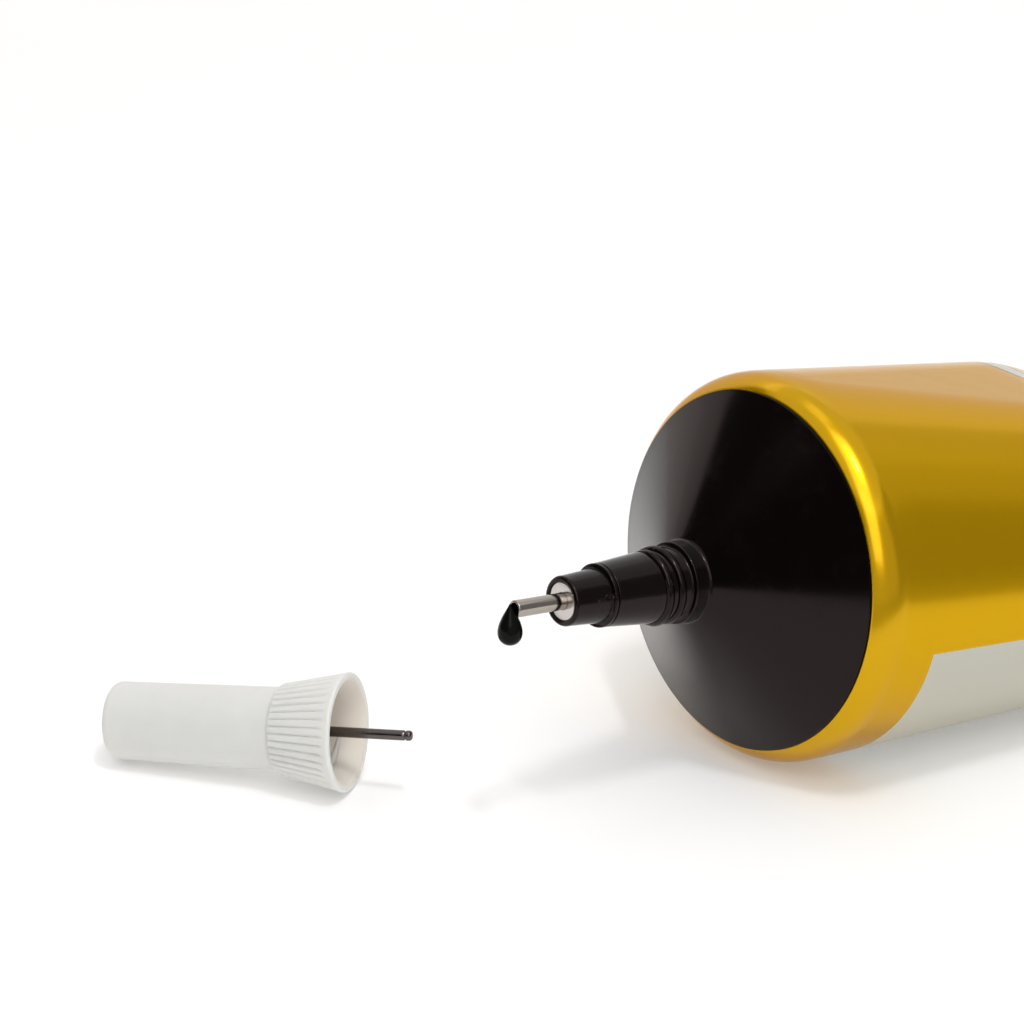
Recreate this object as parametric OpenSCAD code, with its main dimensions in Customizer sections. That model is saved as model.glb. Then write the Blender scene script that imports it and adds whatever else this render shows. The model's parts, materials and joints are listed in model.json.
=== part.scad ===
// Metal-laminate glue tube with a needle nozzle, lying on a bench beside its own screw cap.
// Millimetres. The bench is z = 0, the tail of the tube points along +X, and +Z is up.

/* [Tube body] */
// Outside diameter of the round front end of the tube
tube_d = 38; // [34:0.5:42]
// Length from the round front end to the flat tail seal
body_len = 136; // [115:1:155]
// Length of the flat sealed strip at the tail
seal_len = 8; // [5:0.5:12]
// Thickness of the sealed strip, two walls welded flat
seal_t = 0.8; // [0.6:0.1:1.2]
// Thickness of the laminate wall
wall = 0.5; // [0.4:0.05:0.6]
// Radius of the front edge, rolled over onto the shoulder
roll_r = 3.5; // [3:0.1:4]
// How far round the front edge is rolled, in degrees
roll_angle = 55; // [50:1:58]
// Round length behind the rolled edge, before the body starts to flatten
round_len = 0.6; // [0.6:0.1:2]

/* [Shoulder and neck] */
// Diameter of the plain foot of the neck
collar_d = 7.9; // [7.6:0.1:8.4]
// Length of that foot
collar_t = 1.75; // [1.4:0.05:2.2]
// Height of the foot above the edge of the shoulder cone
neck_base = 7.85; // [7:0.05:9]
// Size of the fillet between the shoulder cone and the foot
foot_round = 0.9; // [0.6:0.1:1.3]
// Diameter at the root of the screw thread
thread_d = 6.9; // [6.9:0.1:7.2]
// Length of the threaded part of the neck
thread_len = 4; // [3.4:0.1:4.4]
// Diameter of the smooth barrel where the thread ends
barrel_d = 6.8; // [6.5:0.1:6.8]
// Diameter of the smooth barrel at its front end
barrel_end_d = 6.1; // [5.8:0.1:6.4]
// Length of the smooth barrel
barrel_len = 4.65; // [4:0.05:6]
// Diameter of the bore through the neck
neck_bore_d = 4; // [3.4:0.1:4.4]
// Thickness of the shoulder cone
shoulder_t = 1.6; // [1.2:0.1:2]

/* [Needle and its holder] */
// Diameter of the holder behind its front edge
holder_d = 5.2; // [4.8:0.1:5.6]
// Diameter of the holder at its front edge
holder_end_d = 4.8; // [4.5:0.1:5]
// Length of the holder in front of its flange
holder_len = 4.2; // [3.6:0.1:5]
// Thickness of the flange that sits on the barrel
flange_t = 0.45; // [0.3:0.05:0.6]
// Length of the stem that plugs into the neck bore
stem_len = 5.2; // [4:0.1:6]
// Diameter of the metal ferrule round the needle
ferrule_d = 3.5; // [3.2:0.1:3.8]
// Thickness of the ferrule
ferrule_t = 0.85; // [0.6:0.05:1]
// Outside diameter of the needle, 16 gauge
needle_d = 1.65; // [1.4:0.05:1.8]
// Bore of the needle
needle_bore_d = 1.19; // [1.1:0.01:1.25]
// Length of needle standing out of the holder
needle_out = 5.6; // [4:0.1:8]
// Length of the glue drop hanging from the needle
drop_len = 4.2; // [3:0.1:4.4]
// Width of the glue drop
drop_w = 2.35; // [1.8:0.05:2.6]

/* [Cap] */
// Length of the cap from its mouth to its closed end
cap_len = 24.2; // [23.4:0.1:27]
// Diameter of the mouth
cap_mouth_d = 11.56; // [11:0.02:12.4]
// Length of the flared grip
flare_len = 6.7; // [6:0.1:8]
// Diameter of the flared grip at its narrow end
flare_d = 8.84; // [8.6:0.02:9.4]
// Diameter of the cap barrel beside the grip
cap_barrel_d = 8.06; // [8:0.02:8.4]
// Diameter of the cap barrel at the closed end
cap_end_d = 7.6; // [7.5:0.02:8]
// Edge rounding of the closed end
cap_edge_r = 0.9; // [0.6:0.1:1.2]
// Inside diameter of the cap barrel
cap_bore_d = 6.9; // [6.8:0.02:7]
// Inside diameter of the threaded part of the cap
cap_thread_d = 8.2; // [8.1:0.02:8.3]
// Thickness of the closed end
cap_floor = 1.5; // [1.3:0.1:2]
// Number of grip flutes
flutes = 40; // [24:1:40]
// Depth of each flute
flute_depth = 0.22; // [0.15:0.01:0.25]
// Width of the plain lip at the mouth
lip_w = 0.7; // [0.5:0.1:1.2]

/* [Clearing pin] */
// Diameter of the pin that clears the needle
pin_d = 1; // [0.8:0.02:1.04]
// Length of pin standing out of the cap mouth
pin_out = 6.45; // [5:0.05:8]
// Depth to which the pin is held in the closed end
pin_hold = 0.8; // [0.6:0.1:1]
// Length of the boss that holds the pin
boss_len = 1.4; // [1:0.1:1.8]

/* [Where the cap lies] */
// Cap mouth along the tube, from the front of the tube body
cap_x = -37.5; // [-45:0.1:-37]
// Cap mouth to the side of the tube
cap_y = 17.7; // [16:0.1:26]
// Heading of the cap mouth in degrees
cap_heading = -56.1; // [-75:0.05:-45]

/* [Hidden] */
$fn = 96;
gap = 0.05;
tube_r = tube_d / 2;
tail_w = PI * tube_r;
roll_c = tube_r - roll_r;
// The tube rests on its round front end and on the far edge of the tail seal
tilt = atan((tube_r - seal_t / 2) / (body_len + seal_len));
// The shoulder cone starts a little ahead of the end of the roll
front_s = -roll_r * sin(roll_angle) - 0.23;
flat_s = front_s - round_len;
seal_s = flat_s - body_len;
thread_s = neck_base + collar_t;
barrel_s = thread_s + thread_len;
flange_s = barrel_s + barrel_len + gap;
tip_s = flange_s + flange_t;
holder_s = tip_s + holder_len;
needle_tip_s = holder_s + needle_out;
recess = ferrule_t + 0.4;
edge_in = roll_r - wall - gap;
// The shoulder fills in up to the rolled edge and stands a little proud of it
brim = roll_r + 0.1;
brim_angle = roll_angle + 1.6;
collar_r = collar_d / 2;
cap_r = cap_mouth_d / 2;
cap_end_r = cap_end_d / 2;
// The cap rests on its mouth and on the rounded edge of its closed end
rest_a = cap_r - cap_end_r + cap_edge_r;
rest_b = cap_len - cap_edge_r;
cap_tilt = acos(cap_edge_r / norm([rest_a, rest_b])) - atan2(rest_b, rest_a);
// Mouth direction of the cap, and the corner of the footprint that its closed end makes
cap_dir_x = cos(cap_heading) * cos(cap_tilt);
cap_dir_y = sin(cap_heading) * cos(cap_tilt);
end_x = cap_x - rest_b * cap_dir_x;
end_y = cap_y - rest_b * cap_dir_y;
far_x = end_x - (cap_end_r - cap_edge_r) * sqrt(1 - cap_dir_x * cap_dir_x) - cap_edge_r;
far_y = end_y + (cap_end_r - cap_edge_r) * sqrt(1 - cap_dir_y * cap_dir_y) + cap_edge_r;
tail_x = (round_len + body_len + seal_len) * cos(tilt) + seal_t / 2 * sin(tilt);
// Middle of the footprint, which is the origin
mid_x = (far_x + tail_x) / 2;
mid_y = (far_y - tail_w / 2) / 2;
tube_z = tube_r * cos(tilt) - flat_s * sin(tilt);
tube_x = front_s * cos(tilt);

// Places a piece drawn with +Z along the nozzle, z = 0 at the edge of the shoulder cone
module on_tube() {
    translate([tube_x - mid_x, -mid_y, tube_z])
    rotate([0, tilt - 90, 0])
    children();
}

// Places a piece drawn with +Z out of the cap mouth, z = 0 at the mouth
module on_cap() {
    translate([cap_x - mid_x, cap_y - mid_y, cap_r * cos(cap_tilt)])
    rotate([0, 90 - cap_tilt, cap_heading])
    children();
}

// Round at the front and flat at the tail, the way a sheet tube closes without stretching
module wedge(r, front, tail_width, tail_t, tail) {
    hull() {
        translate([0, 0, front - 0.02])
        cylinder(r = r, h = 0.02);
        translate([-tail_t / 2, -tail_width / 2, tail])
        cube([tail_t, tail_width, 0.02]);
    }
}

// Cut section of the rolled front edge
module roll_profile() {
    intersection() {
        translate([roll_c, front_s])
        difference() {
            circle(r = roll_r);
            circle(r = roll_r - wall);
        }
        polygon([
            [roll_c, front_s],
            [roll_c + 4 * roll_r, front_s],
            [roll_c + 4 * roll_r, front_s + 4 * roll_r],
            [roll_c + 4 * roll_r * cos(roll_angle), front_s + 4 * roll_r * sin(roll_angle)]
        ]);
    }
}

// Laminate body: rolled edge, short round band, flattening body and flat tail seal
module tube_sleeve() {
    color("goldenrod")
    on_tube() {
        rotate_extrude()
        roll_profile();
        difference() {
            union() {
                translate([0, 0, flat_s])
                cylinder(r = tube_r, h = round_len);
                wedge(tube_r, flat_s + 0.02, tail_w, seal_t, seal_s);
            }
            translate([0, 0, flat_s - 0.01])
            cylinder(r = tube_r - wall, h = round_len + 1);
            wedge(tube_r - wall, flat_s, tail_w - 2, 0.1, seal_s + 0.5);
        }
        translate([-seal_t / 2, -tail_w / 2, seal_s - seal_len])
        cube([seal_t, tail_w, seal_len + 0.02]);
    }
}

// Moulded shoulder cone and neck, one hollow piece held by the rolled edge
module shoulder_head() {
    under = tube_r - wall - gap;
    lip = flat_s + 0.1;
    arc = [for (a = [0 : 6 : roll_angle]) [roll_c + edge_in * cos(a), front_s + edge_in * sin(a)]];
    edge = [
        [roll_c + edge_in * cos(brim_angle), front_s + edge_in * sin(brim_angle)],
        [roll_c + brim * cos(brim_angle), front_s + brim * sin(brim_angle)]
    ];
    slope = (neck_base - edge[1][1]) / (edge[1][0] - collar_r);
    foot = [for (t = [0 : 0.2 : 1]) [
        collar_r + foot_round * (1 - t) * (1 - t),
        neck_base - foot_round * slope * (1 - t) * (1 - t) + foot_round * t * t
    ]];
    neck = [
        [collar_r, thread_s],
        [thread_d / 2, thread_s],
        [thread_d / 2, barrel_s],
        [barrel_d / 2, barrel_s],
        [barrel_end_d / 2, barrel_s + barrel_len]
    ];
    inside = [
        [neck_bore_d / 2, barrel_s + barrel_len],
        [neck_bore_d / 2, neck_base - shoulder_t],
        [under - shoulder_t, front_s - 0.4],
        [under - shoulder_t, lip]
    ];
    color("dimgray")
    on_tube()
    rotate_extrude()
    polygon(concat([[under, lip]], arc, edge, foot, neck, inside));
}

// Plastic needle holder: stem in the neck bore, flange, tapered tip with a ferrule recess
module needle_holder() {
    stem_r = neck_bore_d / 2 - 0.03;
    bore_r = needle_d / 2 + 0.03;
    round_r = 0.4;
    nose = [for (a = [0 : 15 : 90])
        [holder_end_d / 2 - round_r + round_r * cos(a), holder_s - round_r + round_r * sin(a)]];
    foot = [
        [bore_r, flange_s - stem_len],
        [stem_r - 0.4, flange_s - stem_len],
        [stem_r, flange_s - stem_len + 0.8],
        [stem_r, flange_s],
        [barrel_end_d / 2, flange_s],
        [barrel_end_d / 2, tip_s],
        [holder_d / 2, tip_s]
    ];
    mouth = [
        [ferrule_d / 2 + 0.03, holder_s],
        [ferrule_d / 2 + 0.03, holder_s - recess],
        [bore_r, holder_s - recess]
    ];
    color("#333333")
    on_tube()
    rotate_extrude()
    polygon(concat(foot, nose, mouth));
}

// Metal ferrule that grips the needle, sunk into the front of the holder
module needle_ferrule() {
    base = holder_s - recess + 0.02;
    hole = needle_d / 2 + 0.02;
    edge = ferrule_d / 2;
    color("silver")
    on_tube()
    rotate_extrude()
    polygon([
        [hole, base],
        [edge, base],
        [edge, base + ferrule_t - 0.15],
        [edge - 0.15, base + ferrule_t],
        [hole, base + ferrule_t]
    ]);
}

// Steel needle, open right through
module needle_tube() {
    back = flange_s - stem_len + 0.6;
    color("lightgray")
    on_tube()
    difference() {
        translate([0, 0, back])
        cylinder(d = needle_d, h = needle_tip_s - back);
        translate([0, 0, back - 1])
        cylinder(d = needle_bore_d, h = needle_tip_s - back + 2);
    }
}

// Glue that fills the body and the shoulder
module adhesive_fill() {
    skirt = tube_r - wall - gap - shoulder_t;
    top = neck_base - shoulder_t;
    color("black")
    on_tube() {
        hull() {
            translate([0, 0, flat_s - 0.3])
            cylinder(r = tube_r - wall - 0.25, h = 0.02);
            translate([-0.1, -tail_w / 2 + 6, seal_s + 3])
            cube([0.2, tail_w - 12, 0.02]);
        }
        rotate_extrude()
        polygon([
            [0, flat_s - 0.5],
            [skirt - 0.1, flat_s - 0.5],
            [skirt - 0.1, front_s - 0.5],
            [neck_bore_d / 2 - 0.1, top - 0.1],
            [neck_bore_d / 2 - 0.1, flange_s - stem_len - 0.2],
            [0, flange_s - stem_len - 0.2]
        ]);
    }
}

// Drop of glue hanging straight down from the needle mouth
module glue_drop() {
    ahead = needle_tip_s + 0.48;
    drop_x = tube_x - mid_x - ahead * cos(tilt);
    drop_z = tube_z + ahead * sin(tilt) + 0.7 - drop_len / 2;
    outline = [for (t = [0 : 7.5 : 180])
        [drop_w / 1.428 * sin(t) * pow(sin(t / 2), 1.4), drop_len / 2 * cos(t)]];
    color("black")
    difference() {
        translate([drop_x, -mid_y, drop_z])
        rotate_extrude()
        polygon(outline);
        on_tube()
        cylinder(d = needle_d + 0.04, h = needle_tip_s + 0.02);
    }
}

// One groove of the grip, laid along the slope of the flare
module flute() {
    lean = atan((cap_r - flare_d / 2) / flare_len);
    cut_r = 0.26;
    translate([flare_d / 2 + cut_r - flute_depth, 0, -flare_len])
    rotate([0, lean, 0])
    translate([0, 0, -0.4])
    cylinder(r = cut_r, h = flare_len / cos(lean) - lip_w + 0.4, $fn = 24);
}

// Screw cap: closed barrel, flared grip with flutes, threaded mouth and a boss for the pin
module cap_shell() {
    corner = [for (a = [0 : 15 : 90])
        [cap_end_r - cap_edge_r + cap_edge_r * cos(a), -cap_len + cap_edge_r - cap_edge_r * sin(a)]];
    pin_hole = pin_d / 2 + 0.03;
    seat = -cap_len + cap_floor;
    outside = [
        [cap_r - 0.25, 0],
        [cap_r, -0.25],
        [cap_r, -0.35],
        [flare_d / 2, -flare_len],
        [cap_barrel_d / 2, -flare_len]
    ];
    inside = [
        [0, -cap_len],
        [0, seat - pin_hold],
        [pin_hole, seat - pin_hold],
        [pin_hole, seat + boss_len],
        [pin_hole + 0.7, seat + boss_len],
        [pin_hole + 1, seat],
        [cap_bore_d / 2 - 0.3, seat],
        [cap_bore_d / 2, -flare_len - 0.3],
        [cap_thread_d / 2, -flare_len + 0.5],
        [cap_thread_d / 2, -1.6],
        [cap_r - 0.75, 0]
    ];
    color("white")
    on_cap()
    difference() {
        rotate_extrude()
        polygon(concat(outside, corner, inside));
        for (i = [0 : flutes - 1]) {
            rotate([0, 0, i * 360 / flutes])
            flute();
        }
    }
}

// Steel pin held in the closed end, with a groove behind its rounded head
module cap_pin() {
    r = pin_d / 2;
    start = -cap_len + cap_floor - pin_hold + 0.05;
    soft = 0.3;
    head = [for (a = [0 : 15 : 90]) [r - soft + soft * cos(a), pin_out - soft + soft * sin(a)]];
    stem = [
        [0, start],
        [r, start],
        [r, pin_out - 0.8],
        [r - 0.08, pin_out - 0.72],
        [r - 0.08, pin_out - 0.62],
        [r, pin_out - 0.54]
    ];
    color("gray")
    on_cap()
    rotate_extrude()
    polygon(concat(stem, head, [[0, pin_out]]));
}

tube_sleeve();
shoulder_head();
needle_holder();
needle_ferrule();
needle_tube();
adhesive_fill();
glue_drop();
cap_shell();
cap_pin();
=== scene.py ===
# %% [markdown]
# # A glue tube with its cap off
# The CAD part is loaded first and stays where it is: it is the ruler for everything below. Each visible
# piece is then modelled at its real size, finished, and laid on the body that it moves with. Sizes are in
# millimetres, and MM turns them into Blender's metres.

# %% Load the frame
import json
import math

import bmesh
import bpy
from mathutils import Matrix, Vector


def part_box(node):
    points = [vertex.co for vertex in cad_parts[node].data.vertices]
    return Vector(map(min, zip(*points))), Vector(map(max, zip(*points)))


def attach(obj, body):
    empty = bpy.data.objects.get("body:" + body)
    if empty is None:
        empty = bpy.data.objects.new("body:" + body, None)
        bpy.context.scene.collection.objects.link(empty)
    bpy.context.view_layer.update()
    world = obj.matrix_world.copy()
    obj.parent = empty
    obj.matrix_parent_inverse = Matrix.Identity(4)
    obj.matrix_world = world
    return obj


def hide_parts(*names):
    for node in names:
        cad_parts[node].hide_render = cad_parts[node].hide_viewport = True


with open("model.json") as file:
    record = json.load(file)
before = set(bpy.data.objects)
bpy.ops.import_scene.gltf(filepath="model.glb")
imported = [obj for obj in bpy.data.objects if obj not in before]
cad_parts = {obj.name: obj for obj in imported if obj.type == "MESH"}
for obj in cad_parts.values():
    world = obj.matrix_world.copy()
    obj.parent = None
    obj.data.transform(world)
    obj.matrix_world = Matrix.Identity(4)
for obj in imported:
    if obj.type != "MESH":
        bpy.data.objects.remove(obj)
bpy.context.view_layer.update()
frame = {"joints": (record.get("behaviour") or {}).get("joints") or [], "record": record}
MM = 0.001

# %% [markdown]
# ## Two places to model in
# The tube lies a few degrees nose up, and the cap lies askew on its flared mouth. Modelling on a slant is
# hard, so every piece is drawn upright round the Z axis and then laid down by one of these two matrices.
# The mount on the neck and the joint of the cap already hold the directions, so nothing is measured twice.

# %% Where the tube and the cap lie
NECK_MIDDLE = 11.6
neck = next(m for m in frame["record"]["mounts"] if m["name"] == "neck_thread")
twist = next(j for j in frame["joints"] if j["name"] == "cap_twist")
nose = Vector(neck["axis"]).normalized()
mouth_way = Vector(twist["axis"]).normalized()


def upright_to(way, side, place):
    """The matrix that lays an upright piece along way, with its own Y axis along side."""
    y = side - side.dot(way) * way
    y.normalize()
    x = y.cross(way)
    turn = Matrix((x, y, way)).transposed().to_4x4()
    return Matrix.Translation(place) @ turn


tube_lies = upright_to(nose, Vector((0, 1, 0)), Vector(neck["pos_m"]) - nose * NECK_MIDDLE * MM)
cap_lies = upright_to(mouth_way, Vector((0, 0, 1)).cross(mouth_way), Vector(twist["pos_m"]))
print("tube nose", [round(v, 3) for v in nose], "cap mouth", [round(v, 3) for v in mouth_way])

# %% [markdown]
# ## Camera
# The photograph was taken from close to the bench with a long lens, so parallel edges hardly converge.
# The lens and the place, which is in metres, come from fitting the round shoulder, the straight sides and
# the needle. A camera could be turned by angles; here its three axes are written down, so no roll creeps in.

# %% Camera
AZIMUTH, ELEVATION = math.radians(-38.526), math.radians(22.429)
LENS, SENSOR = 175.78, 36
CAMERA_AT = (-0.34019, -0.33605, 0.20751)
back = Vector((
    math.sin(AZIMUTH) * math.cos(ELEVATION),
    -math.cos(AZIMUTH) * math.cos(ELEVATION),
    math.sin(ELEVATION),
))
right = Vector((math.cos(AZIMUTH), math.sin(AZIMUTH), 0))
camera_data = bpy.data.cameras.new("photo_camera")
camera_data.lens, camera_data.sensor_width = LENS, SENSOR
camera = bpy.data.objects.new("photo_camera", camera_data)
bpy.context.scene.collection.objects.link(camera)
camera.matrix_world = Matrix((right, back.cross(right), back)).transposed().to_4x4()
camera.location = CAMERA_AT
bpy.context.scene.camera = camera
print("camera at", [round(v, 4) for v in camera.location])

# %% [markdown]
# ## Shader sums
# A finish is easier to read as sums than as a web of nodes. This class wraps one output socket: adding or
# multiplying two of them adds the Math node, and `add` makes any other node.


# %% A socket that can be reckoned with
def socket_of(node, name):
    """A node's input by its name, with _ for a space, or by its number, as i0 or i1."""
    if name[1:].isdigit():
        return node.inputs[int(name[1:])]
    return node.inputs[name.replace("_", " ")]


def rgba(colour):
    """A colour with its fourth number, or a wire as it is."""
    return colour if isinstance(colour, Wire) else (*colour, 1)


class Wire:
    def __init__(self, tree, socket=None):
        self.tree, self.socket = tree, socket

    def plug(self, node, values):
        """Links wires to a node's inputs, and sets plain values on them."""
        for name, value in values.items():
            if isinstance(value, Wire):
                self.tree.links.new(value.socket, socket_of(node, name))
            else:
                socket_of(node, name).default_value = value

    def add(self, kind, settings=None, out=0, **values):
        made = self.tree.nodes.new("ShaderNode" + kind)
        for key, value in (settings or {}).items():
            setattr(made, key, value)
        self.plug(made, values)
        return Wire(self.tree, made.outputs[out])

    def math(self, operation, other=0.0, clamp=False):
        return self.add("Math", {"operation": operation, "use_clamp": clamp}, i0=self, i1=other)

    def __add__(self, other):
        return self.math("ADD", other)

    __radd__ = __add__

    def __mul__(self, other):
        return self.math("MULTIPLY", other)

    __rmul__ = __mul__

    def __sub__(self, other):
        return self.math("SUBTRACT", other)

    def __rsub__(self, other):
        return self.add("Math", {"operation": "SUBTRACT"}, i0=other, i1=self)

    def __truediv__(self, other):
        return self.math("DIVIDE", other)

    def __abs__(self):
        return self.math("ABSOLUTE")

    def above(self, edge, soft):
        """0 below edge, 1 above it, with a soft step between."""
        step = {"interpolation_type": "SMOOTHSTEP"}
        return self.add("MapRange", step, Value=self, From_Min=edge - soft, From_Max=edge + soft)

    def mix(self, one, other):
        """Goes from colour one to colour other where this value goes from 0 to 1."""
        return self.add("Mix", {"data_type": "RGBA"}, out=2, i0=self, i6=rgba(one), i7=rgba(other))


print("sockets can be added, multiplied and mixed")

# %% [markdown]
# ## Helpers for finishes
# Every pattern here belongs to a piece that was drawn upright, so the coordinates are turned back upright
# too. Then height, width and length of the piece can be used in the sums as plain millimetres.

# %% Helpers for finishes
OBJECT_PLACE = 3


def finish_of(name):
    """A new material: its start wire and its main shader node."""
    material = bpy.data.materials.new(name)
    material.use_nodes = True
    return material, Wire(material.node_tree), material.node_tree.nodes["Principled BSDF"]


def feed(start, shader, **values):
    start.plug(shader, values)


def local_place(start, lies):
    """Object coordinates turned back upright: x, y and z of the piece's own drawing, in millimetres."""
    undo = lies.inverted()
    where = start.add("TexCoord", out=OBJECT_PLACE)
    flat = where.add("Mapping", Vector=where, Location=undo.translation, Rotation=undo.to_euler())
    big = flat.add("VectorMath", {"operation": "SCALE"}, i0=flat, Scale=1 / MM)
    return big, [big.add("SeparateXYZ", out=k, Vector=big) for k in range(3)]


def noise(place, scale, detail, roughness=0.55, distortion=0.0):
    return place.add(
        "TexNoise", Vector=place, Scale=scale, Detail=detail, Roughness=roughness, Distortion=distortion
    )


def bump(height, distance, strength):
    return height.add("Bump", Height=height, Distance=distance, Strength=strength)


print("shader helpers ready")

# %% [markdown]
# ## Turning by hand
# Nearly every piece here was turned or moulded round an axis. A lathe is easily done by hand: add a circle,
# extrude it a little along the axis, scale it, and go on along the outline. The helper below does just that.

# %% A lathe out of extrude and scale
AXIS_R, MERGE = 0.004, 0.011


def next_ring(r0, z0, r1, z1):
    bpy.ops.mesh.extrude_edges_move(TRANSFORM_OT_translate={"value": (0, 0, (z1 - z0) * MM)})
    bpy.ops.transform.resize(value=(r1 / r0, r1 / r0, 1), center_override=(0, 0, 0))


def turned(name, sides, outline, turn=0.0, joined=False, merge=True):
    """Lathes an outline of (radius, height) points. A radius of 0 closes the piece at the axis, a joined
    outline runs back to its first point, and merge makes one of rings that fall together."""
    points = [(max(r, AXIS_R), z) for r, z in outline]
    points += points[:1] if joined else []
    radius, z = points[0]
    bpy.ops.object.select_all(action="DESELECT")
    bpy.ops.mesh.primitive_circle_add(
        vertices=sides, radius=radius * MM, location=(0, 0, z * MM), rotation=(0, 0, turn)
    )
    piece = bpy.context.object
    piece.name = name
    bpy.ops.object.transform_apply(location=True, rotation=True, scale=True)
    bpy.ops.object.mode_set(mode="EDIT")
    bpy.ops.mesh.select_all(action="SELECT")
    for (r0, z0), (r1, z1) in zip(points, points[1:]):
        next_ring(r0, z0, r1, z1)
    if merge:
        bpy.ops.mesh.select_all(action="SELECT")
        bpy.ops.mesh.remove_doubles(threshold=MERGE * MM)
    return piece


def line(start, end, steps):
    """Points of a straight stretch, to put into an outline."""
    (r0, z0), (r1, z1) = start, end
    return [(r0 + (r1 - r0) * k / steps, z0 + (z1 - z0) * k / steps) for k in range(steps + 1)]


def arc(r, z, radius, start, stop, steps):
    """Points of an arc round (r, z), to put into an outline."""
    angles = [math.radians(start + (stop - start) * k / steps) for k in range(steps + 1)]
    return [(r + radius * math.cos(a), z + radius * math.sin(a)) for a in angles]


print("lathe ready")

# %% [markdown]
# ## Selecting and laying down
# By hand one clicks on what is to be moved. In code a test on place or length does the clicking. When a piece
# is done it gets its normals and its finish, is laid in its place, and is tied to the body that carries it.


# %% Selecting and laying down
def pick(piece, kind, test):
    """Selects the vertices, edges or faces of the open edit mesh that pass the test."""
    bpy.ops.mesh.select_mode(type={"verts": "VERT", "edges": "EDGE", "faces": "FACE"}[kind])
    bpy.ops.mesh.select_all(action="DESELECT")
    mesh = bmesh.from_edit_mesh(piece.data)
    for item in getattr(mesh, kind):
        if test(item):
            item.select_set(True)
    mesh.select_flush_mode()
    bmesh.update_edit_mesh(piece.data)


def lay(piece, lies, body, node, finish, angle):
    """Ends the modelling of a piece: normals, smooth shading, its place, its body and its finish."""
    bpy.ops.mesh.select_all(action="SELECT")
    bpy.ops.mesh.normals_make_consistent(inside=False)
    bpy.ops.object.mode_set(mode="OBJECT")
    bpy.ops.object.shade_smooth_by_angle(angle=math.radians(angle))
    piece.matrix_world = lies
    bpy.ops.object.transform_apply(location=True, rotation=True, scale=True)
    piece.data.materials.clear()
    piece.data.materials.append(finish)
    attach(piece, body)
    if node:
        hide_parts(node)
    print(piece.name, len(piece.data.polygons), "faces")


print("selecting and laying down ready")

# %% [markdown]
# ## Gold laminate
# The sleeve is foil between plastic films, lacquered gold. It is a metal to the eye, a little soft in its
# shine, with fine waviness where the film sits on the glue, and glossiest where the front edge is rolled.
# A grey field on the back and a pale stripe between two thin dark lines are printed on it. They could be
# painted on a picture, but masks made from the station along the tube and the angle round it stay sharp.
# Stations count from the shoulder's edge, towards the nozzle upwards and towards the tail downwards.

# %% Gold laminate: printed fields
TUBE_R, BODY_LEN, FLAT_AT = 19.0, 136.0, -3.697
TAIL_W = math.pi * TUBE_R
FIELD_EDGE, FIELD_FRONT = math.radians(100), -7.6
STRIPE_FRONT, STRIPE_END = -38.4, -41.9
LINE_FRONTS, LINE_W = (-38.2, -41.6), 0.5
gold, start, shader = finish_of("gold_laminate_finish")
place, (high, wide, along) = local_place(start, tube_lies)
closing = (FLAT_AT - along).math("DIVIDE", BODY_LEN, clamp=True)
round_side = (abs(wide) - closing * (TAIL_W / 2)).math("MAXIMUM", 0.0)
sheet_angle = round_side.math("ARCTAN2", high)


def ring(front, end, blur=0.05):
    """1 on a printed ring round the body between two stations, 0 elsewhere."""
    return (1 - along.above(front, blur)) * along.above(end, blur)


back_field = sheet_angle.above(FIELD_EDGE, 0.006) * ring(FIELD_FRONT, STRIPE_FRONT)
grey = back_field.math("MAXIMUM", ring(STRIPE_FRONT, STRIPE_END))
first_line, last_line = [ring(front, front - LINE_W) for front in LINE_FRONTS]
dark_line = first_line + last_line
print("field from", FIELD_FRONT, "stripe from", STRIPE_FRONT, "to", STRIPE_END)

# %% Gold laminate: colour, waviness and shine
LACQUER = (0.61, 0.346, 0.001), (0.66, 0.375, 0.003)
GREY_INK = (0.52, 0.52, 0.455), (0.57, 0.57, 0.505)
DARK_INK = (0.03, 0.028, 0.02)
FOIL_METAL, GREY_METAL, DARK_METAL = 0.76, 0.25, 0.40
CRIMP_FRONT, ROLL_FRONT = -139.9, -3.0
clouds = noise(place, 0.05, 4)
grain = noise(place, 1.6, 2)
printed = grey.mix(clouds.mix(*LACQUER), clouds.mix(*GREY_INK))
crimps = place.add("TexWave", {"wave_type": "BANDS", "bands_direction": "Y"}, Vector=place, Scale=0.55)
sealed = 1 - along.above(CRIMP_FRONT, 0.2)
waviness = noise(place, 0.11, 2) * 0.5 + grain * 0.02 + sealed * crimps * 0.35
rolled = along.above(ROLL_FRONT, 0.9)
feed(
    start, shader, Base_Color=dark_line.mix(printed, DARK_INK),
    Metallic=FOIL_METAL - grey * (FOIL_METAL - GREY_METAL) - dark_line * (FOIL_METAL - DARK_METAL),
    Roughness=clouds * 0.05 + grain * 0.03 + grey * 0.12 + 0.17, Normal=bump(waviness, 0.35 * MM, 0.25),
    Coat_Weight=0.45 + rolled * 0.55, Coat_IOR=1.2, Coat_Roughness=0.05,
    Specular_Tint=(0.75, 0.50, 0.10, 1), Specular_IOR_Level=0.2,
)
print("gold laminate", len(gold.node_tree.nodes), "nodes")

# %% [markdown]
# ## The sleeve
# A collapsible tube starts as a round pipe whose tail is pinched flat, so each half of the round moves out
# sideways as it shrinks. By hand that is one long extrusion: shrink the far ring, pull its two halves apart,
# and divide the long edges. The front edge is rolled over the shoulder in short steps. Its lip begins with
# a ring of its own on the last ring of the roll, so the shine breaks there, as on a cut edge. A tube in use
# is also dented: one vertex of the top is pushed down, and proportional editing takes the skin along.

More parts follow.
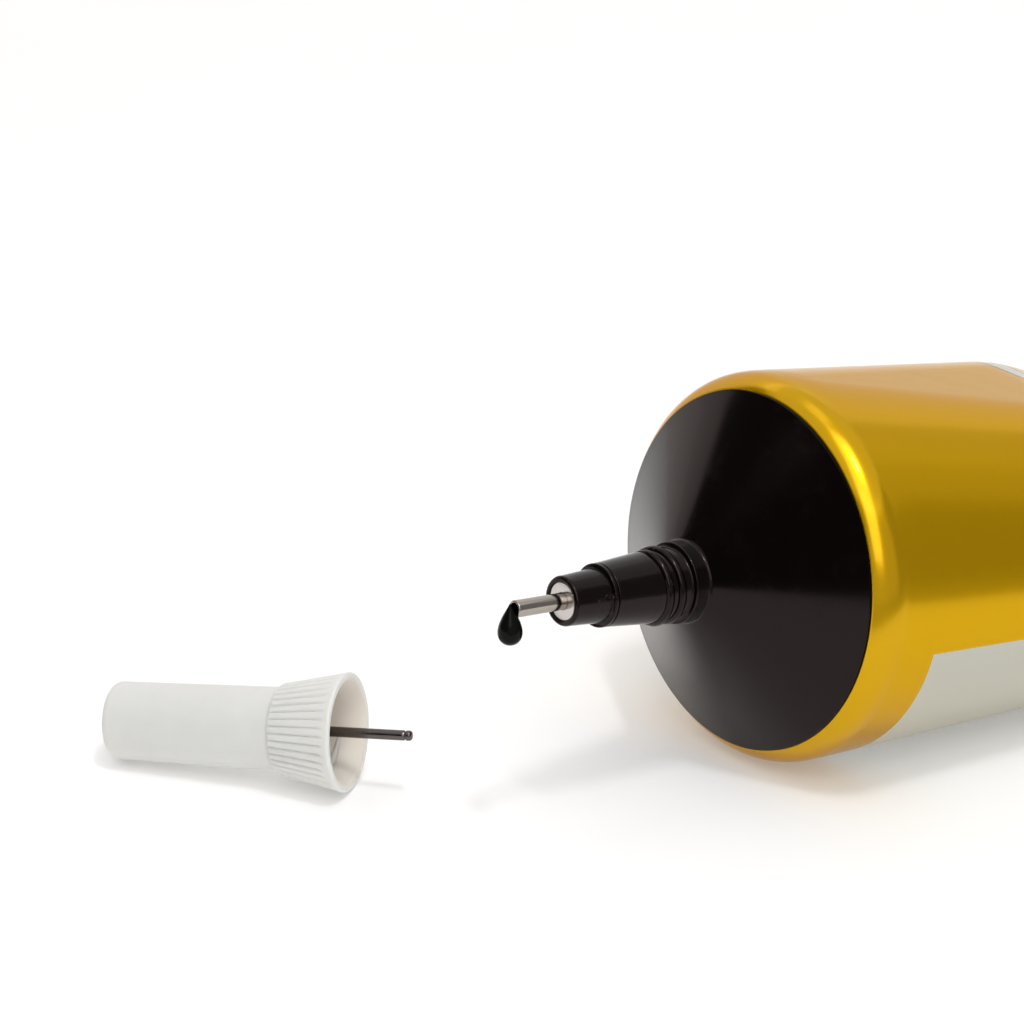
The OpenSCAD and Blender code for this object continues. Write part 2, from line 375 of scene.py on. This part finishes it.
# %% Sleeve: round band and rolled edge
ROLL_R, ROLL_AT, ROLL_END, WALL = 3.5, -3.097, 52.5, 0.5
LIP_R, LIP_OUT, LIP_AT = 0.2, 2.01, -0.479
SLEEVE_SIDES = 144
roll_c = TUBE_R - ROLL_R
sleeve_line = [(TUBE_R, FLAT_AT), (TUBE_R, ROLL_AT - 0.3)]
sleeve_line += arc(roll_c, ROLL_AT, ROLL_R, 0, ROLL_END, 14)
sleeve_line += arc(roll_c + LIP_OUT, LIP_AT, LIP_R, ROLL_END, ROLL_END + 180, 6)
sleeve_line += arc(roll_c, ROLL_AT, ROLL_R - WALL, 48, 24, 3)
sleeve = turned("sleeve", SLEEVE_SIDES, sleeve_line, math.pi / SLEEVE_SIDES, merge=False)
print("rolled edge", len(sleeve_line), "rings")

# %% Sleeve: flattening body
HAIR, LONG, LONG_CUTS, SIDE_CUTS = 0.001, 100, 63, 14


def pinch(piece, radius, front, length, tail_t, tail_w):
    """Draws the ring at front out to the tail, closes it flat there and divides the long sides."""
    pick(piece, "verts", lambda v: abs(v.co.z - front * MM) < HAIR * MM)
    bpy.ops.mesh.extrude_edges_move(TRANSFORM_OT_translate={"value": (0, 0, -length * MM)})
    shrink = tail_t / 2 / radius
    bpy.ops.transform.resize(value=(shrink, shrink, 1), center_override=(0, 0, 0))
    for way in (1, -1):
        pick(piece, "verts", lambda v: v.co.z < -LONG * MM and v.co.y * way > 0)
        bpy.ops.transform.translate(value=(0, way * (tail_w - tail_t) / 2 * MM, 0))
    pick(piece, "edges", lambda e: e.calc_length() > LONG * MM)
    bpy.ops.mesh.subdivide_edgering(number_cuts=LONG_CUTS, interpolation="LINEAR")
    pick(piece, "edges", lambda e: e.verts[0].co.y * e.verts[1].co.y < 0)
    bpy.ops.mesh.subdivide_edgering(number_cuts=SIDE_CUTS, interpolation="LINEAR")


def thumb_press(piece, place, depth, reach):
    """Pushes the skin in at a place, and lets the push fade out along the skin."""
    spot = Vector(place) * MM
    mesh = bmesh.from_edit_mesh(piece.data)
    nearest = min((v for v in mesh.verts if v.co.x > 0), key=lambda v: (v.co - spot).length)
    where = nearest.co.copy()
    pick(piece, "verts", lambda v: (v.co - where).length < HAIR * MM)
    bpy.ops.transform.translate(
        value=(-depth * MM, 0, 0), use_proportional_edit=True, use_proportional_connected=True,
        proportional_edit_falloff="SMOOTH", proportional_size=reach * MM,
    )


SEAL_T = 0.8
pinch(sleeve, TUBE_R, FLAT_AT, BODY_LEN, SEAL_T, TAIL_W)
print("sleeve body", len(bmesh.from_edit_mesh(sleeve.data).faces), "faces")

# %% Sleeve: sealed tail and squeezed top
SEAL_LEN = 8.0
PRESS = {"place": (10.8, 2.0, -62.5), "depth": 5.6, "reach": 26.0}
tail_at = FLAT_AT - BODY_LEN
pick(sleeve, "verts", lambda v: v.co.z < (tail_at + HAIR) * MM)
bpy.ops.mesh.extrude_edges_move(TRANSFORM_OT_translate={"value": (0, 0, -SEAL_LEN * MM)})
bpy.ops.mesh.edge_face_add()
thumb_press(sleeve, **PRESS)
lay(sleeve, tube_lies, "tube", "tube_sleeve", gold, 50)

# %% [markdown]
# ## Black mouldings
# Shoulder, neck and holder are moulded in black plastic: nearly black, with a broad soft shine from the
# mould's fine texture and a few hair scratches. The nozzle parts are handled most, so they are scuffed more.
# Scratches could be painted, but a noise has thin wandering lines where it crosses its middle value, and
# these can be had by a sum.

# %% Black plastic finishes
MOULDED_BLACK, SCUFFED = (0.0016, 0.0008, 0.0009), (0.06, 0.057, 0.055)


def black_plastic(name, roughness, scratch):
    material, start, shader = finish_of(name)
    place = local_place(start, tube_lies)[0]
    mould = noise(place, 6.0, 2)
    cloud = noise(place, 0.35, 4)
    hair = noise(place, 0.9, 6.0, 0.7, distortion=2.2)
    hair_lines = 1 - abs(hair - 0.5).above(0.006, 0.005)
    worn = hair_lines * cloud.above(0.56, 0.04) * scratch
    feed(
        start, shader, Base_Color=worn.mix(MOULDED_BLACK, SCUFFED),
        Roughness=cloud * 0.07 + mould * 0.04 + worn * 0.2 + roughness,
        Normal=bump(mould * 0.12 + worn, 0.03 * MM, 0.6),
        Specular_IOR_Level=0.25, Specular_Tint=(1.0, 0.76, 0.75, 1),
    )
    return material


shoulder_black = black_plastic("shoulder_black", roughness=0.09, scratch=0.05)
nozzle_black = black_plastic("nozzle_black", roughness=0.08, scratch=0.8)
print("black plastic finishes made")

# %% [markdown]
# ## Shoulder and neck
# One moulding: a shallow cone under the rolled edge, a tight corner at the foot of a collar, the neck and a
# barrel that tapers towards the holder. It could be stacked from cones and cylinders, but turned from one
# outline it has no seams, and arcs round its edges.

# %% Shoulder and neck
CONE_R, CONE_Z, CONE_RISE = 17.3, 0.013, 0.587
COLLAR_R, COLLAR_END, CORNER = 3.95, 9.5, 0.25
NECK_R, NECK_END, BARREL_R, BARREL_END, BORE_R = 3.42, 13.5, 3.05, 18.25, 2.0
EDGE_R = 0.12


def on_cone(r):
    return r, CONE_Z + (CONE_R - r) * CONE_RISE


def in_corner(t):
    """A point of the tight curve from the cone, where t is 0, up to the collar, where t is 1."""
    r, z = on_cone(COLLAR_R)
    return r + CORNER * (1 - t) ** 2, z + CORNER * (t * t - CONE_RISE * (1 - t) ** 2)


head_line = arc(roll_c, ROLL_AT, ROLL_R - WALL - 0.05, 8, 55, 6) + [(17.13, -0.63), (17.43, -0.17)]
head_line += [(17.46, -0.12), (17.45, -0.075), (17.40, -0.04)]
head_line += line(on_cone(CONE_R), on_cone(4.85), 10) + [on_cone(4.3)] + [in_corner(k / 6) for k in range(7)]
head_line += [(COLLAR_R, COLLAR_END - 0.2)] + arc(COLLAR_R - EDGE_R, COLLAR_END - EDGE_R, EDGE_R, 0, 90, 3)
head_line += [(3.58, 9.52), (3.46, 9.62), (NECK_R, 9.75), (NECK_R, NECK_END), (3.41, 13.58)]
head_line += line((3.4, 13.66), (BARREL_R, 18.1), 8)
head_line += arc(BARREL_R - EDGE_R, BARREL_END - EDGE_R, EDGE_R, 0, 90, 3)
head_line += [(2.1, BARREL_END), (BORE_R, 18.15), (BORE_R, 12.0)]
head_line += [(BORE_R, 6.2), (16.85, -3.45), (17.9, -3.3)]
head = turned("shoulder_and_neck", 192, head_line, joined=True)
lay(head, tube_lies, "tube", "shoulder_head", shoulder_black, 40)

# %% [markdown]
# ## Screw thread
# A rounded ridge climbs the foot of the neck in two turns. It is one small profile swept round and up: the
# Screw modifier does that exactly, and its ends are then scaled down so that they run out as a moulded
# thread does. The cap gets such a ridge inside.

# %% Screw thread
RIDGE_SIDES, TURN_STEPS, RUN_OUT, BLUNT = 14, 72, 10, 0.6


def screw_ridge(name, root, crest, foot, pitch, turns, width):
    """A helical ridge between two radii, that starts and ends in a taper."""
    bpy.ops.object.select_all(action="DESELECT")
    bpy.ops.mesh.primitive_circle_add(vertices=RIDGE_SIDES, radius=1, rotation=(math.pi / 2, 0, 0))
    piece = bpy.context.object
    piece.name = name
    bpy.ops.object.transform_apply(rotation=True)
    bpy.ops.object.mode_set(mode="EDIT")
    bpy.ops.mesh.select_all(action="SELECT")
    bpy.ops.transform.resize(value=((crest - root) * MM, 1, width / 2 * MM), center_override=(0, 0, 0))
    bpy.ops.transform.translate(value=(root * MM, 0, foot * MM))
    bpy.ops.object.mode_set(mode="OBJECT")
    screw = piece.modifiers.new("thread", "SCREW")
    screw.axis, screw.angle, screw.screw_offset = "Z", turns * 2 * math.pi, turns * pitch * MM
    count = int(turns * TURN_STEPS)
    screw.steps = screw.render_steps = count
    bpy.ops.object.modifier_apply(modifier="thread")
    corners = [v.co for v in piece.data.vertices]
    for k in range(count + 1):
        turned_by = turns * k / count
        angle = 2 * math.pi * turned_by
        middle = Vector((root * math.cos(angle), root * math.sin(angle), foot + pitch * turned_by)) * MM
        size = min(1, (min(k, count - k) + BLUNT) / RUN_OUT)
        for co in corners[k * RIDGE_SIDES:(k + 1) * RIDGE_SIDES]:
            co[:] = middle + (co - middle) * size
    bpy.ops.object.mode_set(mode="EDIT")
    bpy.ops.mesh.select_all(action="SELECT")
    bpy.ops.mesh.fill_holes(sides=0)
    return piece


neck_thread = screw_ridge("neck_thread", root=3.36, crest=3.82, foot=9.72, pitch=1.5, turns=2.1, width=0.95)
lay(neck_thread, tube_lies, "tube", None, nozzle_black, 60)

# %% [markdown]
# ## Needle holder
# A separate black plug stands on the barrel with a thin flange, so a seam shows all round. Its tip tapers to
# a thin rounded ring, hollow in the middle to take the metal ferrule. It could go on from the outline of the
# head, but then the seam would have to be painted: a piece of its own has a true gap below it.

# %% Needle holder
FLANGE_AT, FLANGE_END, FLANGE_R = 18.3, 18.75, 3.05
SOCKET_R, SOCKET_AT, HOLE_R = 1.87, 21.75, 0.86
flange_c = FLANGE_R - EDGE_R
holder_line = [(2.0, FLANGE_AT), (2.9, FLANGE_AT)] + arc(flange_c, FLANGE_AT + EDGE_R, EDGE_R, -90, 0, 3)
holder_line += arc(flange_c, FLANGE_END - EDGE_R, EDGE_R, 0, 90, 3) + [(2.72, 18.76), (2.62, 18.82)]
holder_line += line((2.6, 18.9), (2.4, 22.4), 6)
holder_line += arc(2.07, 22.62, 0.33, 0, 90, 6) + arc(2.03, 22.79, 0.16, 90, 180, 3)
holder_line += [(SOCKET_R, 22.5), (SOCKET_R, SOCKET_AT), (HOLE_R, SOCKET_AT), (HOLE_R, FLANGE_AT)]
holder = turned("holder", 128, holder_line, joined=True)
lay(holder, tube_lies, "tube", "needle_holder", nozzle_black, 40)

# %% [markdown]
# ## Metal finishes
# The ferrule is turned, so its face carries fine rings. The needle is drawn tube, polished along its length,
# and the cap's pin is duller drawn wire. All three are one finish with more or less of each mark.


# %% Metal finishes
def bright_metal(name, lies, colour, roughness, rings, lines):
    material, start, shader = finish_of(name)
    place, (x, y, _) = local_place(start, lies)
    turning = ((x * x + y * y).math("SQRT") * 38.0).math("SINE") * rings
    stretched = place.add("Mapping", Vector=place, Scale=(9.0, 9.0, 0.5))
    drawn = noise(stretched, 1.0, 3) * lines
    smear = noise(place, 0.8, 4)
    smeared = [c * 0.86 for c in colour]
    feed(
        start, shader, Base_Color=smear.mix(smeared, colour), Metallic=1.0,
        Roughness=smear * 0.12 + drawn * 0.1 + roughness,
        Normal=bump(turning * 0.4 + drawn, 0.012 * MM, 0.6),
    )
    return material


ferrule_metal = bright_metal("ferrule_turned", tube_lies, (0.62, 0.575, 0.55), 0.10, rings=0.3, lines=0.1)
needle_steel = bright_metal("needle_polished", tube_lies, (0.44, 0.395, 0.355), 0.04, rings=0.0, lines=0.6)
pin_steel = bright_metal("pin_dull", cap_lies, (0.135, 0.12, 0.113), 0.14, rings=0.0, lines=0.8)
print("metal finishes made")

# %% [markdown]
# ## Ferrule and needle
# The ferrule is a thick washer, nearly flush with the holder, whose flat polished face mirrors the needle.
# The needle is a plain tube, but a cut tube has a rounded lip, and the light caught on that lip is what makes
# it read as steel.

# %% Ferrule and needle
FERRULE_R, FERRULE_AT, FERRULE_FACE, FACE_EDGE = 1.85, 21.8, 22.8, 0.1
NEEDLE_R, NEEDLE_BORE, NEEDLE_END, NEEDLE_TIP = 0.825, 0.597, 14.0, 28.55
ferrule_line = [(HOLE_R, FERRULE_AT), (FERRULE_R, FERRULE_AT)]
ferrule_line += arc(FERRULE_R - FACE_EDGE, FERRULE_FACE - FACE_EDGE, FACE_EDGE, 0, 90, 3)
ferrule_line += [(1.2, FERRULE_FACE), (HOLE_R, FERRULE_FACE)]
ferrule = turned("ferrule", 96, ferrule_line, joined=True)
lay(ferrule, tube_lies, "tube", "needle_ferrule", ferrule_metal, 40)
lip = (NEEDLE_R - NEEDLE_BORE) / 2
needle_line = [(NEEDLE_BORE, NEEDLE_END), (NEEDLE_BORE, 28.4)]
needle_line += arc(NEEDLE_BORE + lip, NEEDLE_TIP - lip, lip, 180, 0, 8)
needle_line += [(NEEDLE_R, 25.0), (NEEDLE_R, 21.0), (NEEDLE_R, NEEDLE_END)]
needle = turned("needle", 64, needle_line, joined=True)
lay(needle, tube_lies, "tube", "needle_tube", needle_steel, 50)

# %% [markdown]
# ## Glue
# The drop hangs straight down, whatever the tube does, so it is turned round the vertical, in the box that
# the CAD part keeps for it. Wet glue is black and glossy, with the faintest unevenness. The glue inside is
# drawn as the sleeve is, a little smaller, and dented with it, so that it never pokes through the skin.

# %% Glue finish and the drop
GLUE = (0.002, 0.002, 0.0015), (0.005, 0.005, 0.004)
DROP_STEPS, DROP_SHARPNESS, DROP_WIDEST = 40, 1.4, 0.714
glue_black, start, shader = finish_of("wet_glue")
swirl = noise(start.add("TexCoord", out=OBJECT_PLACE), 700.0, 2)
feed(
    start, shader, Base_Color=swirl.mix(*GLUE), Roughness=swirl * 0.05 + 0.12,
    Normal=bump(swirl, 0.02 * MM, 0.3), Specular_IOR_Level=0.1,
)
low, top = (Vector(corner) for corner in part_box("glue_drop"))
fat, tall = (top.x - low.x) / 2 / MM, (top.z - low.z) / 2 / MM
angles = [math.pi * k / DROP_STEPS for k in range(DROP_STEPS + 1)]
drop_line = [
    (fat / DROP_WIDEST * math.sin(a) * math.sin(a / 2) ** DROP_SHARPNESS, tall * math.cos(a)) for a in angles
]
drop = turned("hanging_drop", 64, drop_line)
lay(drop, Matrix.Translation((low + top) / 2), "tube", "glue_drop", glue_black, 60)

# %% Glue inside
FILL_R, FILL_AT, FILL_LEN, FILL_TAIL_T, FILL_TAIL_W = 18.2, -4.0, 132.7, 0.2, TAIL_W - 12
fill_line = [(FILL_R, FILL_AT), (16.75, -3.99), (16.75, -3.6), (1.9, 6.14), (1.9, 12.88), (0.0, 12.9)]
glue_inside = turned("glue_inside", 96, fill_line, math.pi / 96)
pinch(glue_inside, FILL_R, FILL_AT, FILL_LEN, FILL_TAIL_T, FILL_TAIL_W)
pick(glue_inside, "verts", lambda v: v.co.z < (FILL_AT - FILL_LEN + HAIR) * MM)
bpy.ops.mesh.edge_face_add()
thumb_press(glue_inside, **PRESS)
lay(glue_inside, tube_lies, "tube", "adhesive_fill", glue_black, 50)

# %% [markdown]
# ## White cap
# Polyethylene: white, waxy, with light that sinks in a little. Inside its mouth the white is painted darker
# and warmer, in patches. The barrel is plain; the flared grip has moulded flutes. They could be cut one by
# one; here three rows of vertices out of every eight are pressed in on the flare, and the middle one a second
# time, which gives all forty in two strokes. Stations of the cap count from its mouth.

# %% Cap finish
CAP_WHITE = (0.71, 0.707, 0.675), (0.76, 0.757, 0.727)
MOUTH_WARM_TONE = (0.74, 0.66, 0.58)
cap_white, start, shader = finish_of("waxy_white")
place, (x, y, z) = local_place(start, cap_lies)
mottle = noise(place, 0.5, 4)
skin = noise(place, 4.0, 3)
# Inside the mouth, thread included, the white is mixed in patches towards a darker, warmer tone.
hollow_r = 4.22 + ((z + 1.7) / 1.5).math("MAXIMUM", 0.0) * 0.9
in_mouth = (hollow_r - (x * x + y * y).math("SQRT")).above(0.0, 0.04) * z.above(-6.6, 0.1)
warmer_in_mouth = (in_mouth * (mottle * 0.4 + 0.4)).mix(mottle.mix(*CAP_WHITE), MOUTH_WARM_TONE)
feed(
    start, shader, Base_Color=warmer_in_mouth, Roughness=mottle * 0.1 + skin * 0.06 + 0.36,
    Normal=bump(skin + mottle, 0.03 * MM, 0.4),
    Subsurface_Weight=0.6, Subsurface_Radius=(1.0, 0.93, 0.82), Subsurface_Scale=1.6 * MM,
)
print("cap finish made")

# %% Cap: barrel, flare and hollow
FLUTES, PER_FLUTE = 40, 8
CAP_END, CAP_R, CAP_ROUND = -24.2, 3.8, 0.9
cap_line = [(0, CAP_END), (1.6, -24.19), (2.6, -24.16)]
cap_line += arc(CAP_R - CAP_ROUND, CAP_END + CAP_ROUND, CAP_ROUND, -75, 0, 6)
cap_line += line((CAP_R, -22.6), (4.03, -7.2), 6)
cap_line += [(4.05, -6.95), (4.12, -6.82), (4.3, -6.74), (4.42, -6.6)]
cap_line += line((4.45, -6.45), (5.65, -0.7), 10)
cap_line += [(5.7, -0.5), (5.77, -0.3), (5.78, -0.2)] + arc(5.53, -0.2, 0.25, 15, 90, 3)
cap_line += [(5.25, 0.0), (5.08, -0.06), (5.0, -0.2), (4.1, -1.7), (4.1, -6.2), (3.5, -7.1)]
cap_line += [(3.2, -22.5), (1.4, -22.6), (1.3, -21.3), (1.2, -21.2), (0.55, -21.2), (0.53, -21.3)]
cap_line += [(0.53, -23.3), (0, -23.3)]
cap = turned("cap_moulding", FLUTES * PER_FLUTE, cap_line)
print("cap", len(bmesh.from_edit_mesh(cap.data).verts), "vertices")

# %% Cap: flutes and thread
FLUTE_FOOT, FLUTE_END, FLUTE_R, PRESSED = -6.65, -0.9, 4.3, 0.978


def in_groove(v, rows):
    """Whether a vertex of the flare lies within so many rows of the middle of a flute."""
    on_flare = FLUTE_FOOT * MM < v.co.z < FLUTE_END * MM and v.co.xy.length > FLUTE_R * MM
    column = (math.degrees(math.atan2(v.co.y, v.co.x)) * FLUTES / 360 + 0.5) % 1
    return on_flare and abs(column - 0.5) * PER_FLUTE < rows + 0.01


for rows in (1, 0):
    pick(cap, "verts", lambda v: in_groove(v, rows))
    bpy.ops.transform.resize(value=(PRESSED, PRESSED, 1), center_override=(0, 0, 0))
lay(cap, cap_lies, "cap", "cap_shell", cap_white, 60)
cap_thread = screw_ridge("cap_thread", root=4.15, crest=3.78, foot=-5.6, pitch=1.45, turns=2.2, width=0.9)
lay(cap_thread, cap_lies, "cap", None, cap_white, 60)

# %% [markdown]
# ## Clearing pin
# A piece of drawn wire with a thin groove rolled in behind its rounded head. A groove could be a dark ring in
# the finish, but a turned one also breaks the outline, as the real one does.

# %% Clearing pin
PIN_R, GROOVE_R, PIN_FOOT, PIN_TIP, PIN_ROUND = 0.5, 0.42, -23.2, 6.45, 0.3
pin_line = [(0.0, PIN_FOOT), (PIN_R, PIN_FOOT), (PIN_R, 5.5), (PIN_R, 5.65)]
pin_line += [(GROOVE_R, 5.73), (GROOVE_R, 5.83), (PIN_R, 5.91), (PIN_R, 6.05)]
pin_line += arc(PIN_R - PIN_ROUND, PIN_TIP - PIN_ROUND, PIN_ROUND, 0, 90, 6) + [(0.0, PIN_TIP)]
pin = turned("clearing_pin", 48, pin_line)
lay(pin, cap_lies, "cap_core", "cap_pin", pin_steel, 50)

# %% [markdown]
# ## Bench and backdrop
# Bright metal shows nothing but what stands round it, so the stage is part of the finish. The bench is a disc
# of pale paper that glows faintly, as a lit table does. Past it a white backdrop fades in, which only the
# camera sees: a white floor that ran on for metres would show in the gold as a bright line.

# %% Bench and backdrop
PALE = (0.79, 0.788, 0.785), (0.82, 0.818, 0.815)
TENT_R, FADE_R, FADE_END, ROOM_R, ROOM_H, COVE_R = 620.0, 270.0, 600.0, 3000.0, 2500.0, 600.0


def paper(name, shades, glow, fade=None):
    """Plain paper with faint fibres, that may glow a little. It may fade in from one radius to another."""
    material, start, shader = finish_of(name)
    where = start.add("TexCoord", out=OBJECT_PLACE)
    feed(
        start, shader, Base_Color=noise(where, 60.0, 4).mix(*shades), Roughness=0.9,
        Emission_Color=(1.0, 0.99, 0.98, 1), Emission_Strength=glow,
    )
    if fade:
        near, far = fade
        radius = where.add("VectorMath", {"operation": "LENGTH"}, out=1, i0=where)
        feed(start, shader, Alpha=radius.above((near + far) / 2 * MM, (far - near) / 2 * MM))
    return material


def set_out(piece, place, finish):
    """Leaves edit mode, puts a stage piece in its place and gives it its paper."""
    bpy.ops.object.mode_set(mode="OBJECT")
    piece.location = Vector(place) * MM
    piece.data.materials.append(finish)
    print(piece.name, len(piece.data.polygons), "faces")


bench = turned("bench", 96, [(0.0, 0.0), (TENT_R, 0.0)])
set_out(bench, (0, 0, -0.2), paper("pale_paper", PALE, glow=0.22))
backdrop_line = [(FADE_R, 0.0), (TENT_R, 0.0)] + arc(ROOM_R - COVE_R, COVE_R, COVE_R, -90, 0, 8)
backdrop = turned("backdrop", 96, backdrop_line + [(ROOM_R, ROOM_H)])
set_out(backdrop, (0, 0, 0), paper("backdrop_paper", PALE, glow=0.9, fade=(FADE_R, FADE_END)))
backdrop.visible_glossy = backdrop.visible_diffuse = backdrop.visible_shadow = False

# %% [markdown]
# ## Grey card
# White paper would fill the lower side of the gold with light. A grey card laid in front of the tube takes
# that down. This one is an arc that only reflections see, so it neither shows nor shades the bench.

# %% Grey card
CARD_R, CARD_HALF_ANGLE, CARD_AT = 95.0, math.radians(70), (-30, -20, 0.3)
CARD_GREY = (0.28, 0.28, 0.27), (0.32, 0.32, 0.31)
towards_front = Vector((0, -1))
card = turned("grey_card", 72, [(CARD_R, 0.0), (TENT_R, 0.0)])
pick(card, "faces", lambda f: abs(f.calc_center_median().xy.angle_signed(towards_front)) > CARD_HALF_ANGLE)
bpy.ops.mesh.delete(type="FACE")
set_out(card, CARD_AT, paper("grey_paper", CARD_GREY, glow=0.0))
card.visible_camera = card.visible_shadow = card.visible_diffuse = False

# %% [markdown]
# ## Lights
# Upright panels stand side by side round the tube, bright behind it and dark in front. A sheet hangs
# overhead, a tall panel by the camera gives the broad gleam, and a small lamp the sharp glint on the rolled
# edge. Each is given the brightness that it has when seen in the metal, and its power follows from its size.
# Places and sizes of lights are in metres, and a wall's two angles are seen from the middle of the bench.

# %% Light helpers
WHITE, WARM = (1, 1, 1), (1.0, 0.90, 0.88)


def soft_light(name, place, target, size, size_y, glow, shape="RECTANGLE", tint=WHITE):
    """A panel that faces the target and looks as bright as glow from anywhere in front of it."""
    data = bpy.data.lights.new(name, "AREA")
    data.shape, data.size, data.size_y, data.color = shape, size, size_y, tint
    data.energy = glow * math.pi * size * size_y * (1 if shape == "RECTANGLE" else math.pi / 4)
    lamp = bpy.data.objects.new(name, data)
    bpy.context.scene.collection.objects.link(lamp)
    lamp.location = place
    lamp.rotation_euler = (Vector(target) - Vector(place)).to_track_quat("-Z", "Y").to_euler()
    lamp.visible_camera = False
    print(name, round(data.energy, 2), "W")


def wall(name, start, stop, glow, tint=WHITE, high=0.70):
    """An upright panel at the edge of the bench, from one compass angle to another."""
    away, middle = TENT_R * MM, math.radians(start + stop) / 2
    wide = 2 * away * math.tan(math.radians(stop - start) / 2)
    foot = Vector((math.cos(middle), math.sin(middle), 0)) * away
    soft_light(name, foot + Vector((0, 0, high / 2)), (0, 0, high / 2), wide, high, glow, tint=tint)


print("light helpers ready")

# %% Lights
LIT = (-0.045, 0, 0.02)
soft_light("overhead", (-0.16, 0, 0.90), (-0.16, 0, 0), 2.0, 2.0, 0.72, "DISK")
soft_light("key_panel", (-0.28, -0.30, 0.505), LIT, 0.31, 0.88, 1.7)
soft_light("key_lamp", (-0.128, -0.206, 0.60), LIT, 0.036, 0.096, 69.4)
soft_light("top_patch", (-0.05, 0.22, 0.86), LIT, 0.30, 0.25, 0.65)
wall("back_wall_low_left", 105, 127, 0.80, WARM, high=0.26)
wall("back_wall", 60, 105, 0.85, WARM)
wall("back_corner", 15, 60, 0.87)
wall("right_wall", -18, 15, 0.54)
wall("right_corner", -40, -18, 0.43)
wall("front_wall", -75, -40, 0.20)
wall("front_wall_middle", -112, -75, 0.45)
wall("front_wall_left", -152, -112, 0.50)

# %% [markdown]
# ## Room and view
# What no panel covers is a dim room. The plain Standard view keeps whites white and the lacquer strong, as on
# white paper; a film-like view would grey both.

# %% Room and view
ROOM_GREY = 0.06
world = bpy.data.worlds.new("studio")
bpy.context.scene.world = world
world.use_nodes = True
room = world.node_tree.nodes["Background"]
room.inputs["Color"].default_value = (ROOM_GREY, ROOM_GREY, ROOM_GREY, 1)
room.inputs["Strength"].default_value = 1.0
bpy.context.scene.view_settings.view_transform = "Standard"
print("room and view set")
